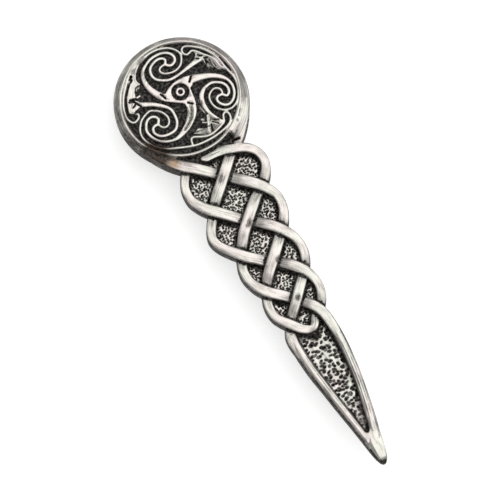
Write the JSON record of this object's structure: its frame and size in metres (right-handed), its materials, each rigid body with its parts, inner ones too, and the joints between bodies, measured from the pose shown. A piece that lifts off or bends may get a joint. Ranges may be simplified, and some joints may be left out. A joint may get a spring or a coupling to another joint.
{
  "type": "kilt pin",
  "caption": "Cast pewter kilt pin: a round head with a raised triskele, a plaited neck and a tapering blade, with a pin and catch on its back.",
  "frame": {"origin": "centre of the bounding box's bottom, on the surface that the pin lies on", "axes": "+Y along the pin towards its round head, +Z out of its face, +X to the right when the face is seen with the head up"},
  "size_m": [0.026, 0.0922, 0.0088],
  "materials": {
    "pewter": "antiqued cast pewter, its raised work polished and its sunk grounds blackened",
    "steel": "nickel-plated steel"
  },
  "bodies": {
    "root": {"casting": "pewter", "pin_clasp": "steel"}
  },
  "joints": []
}
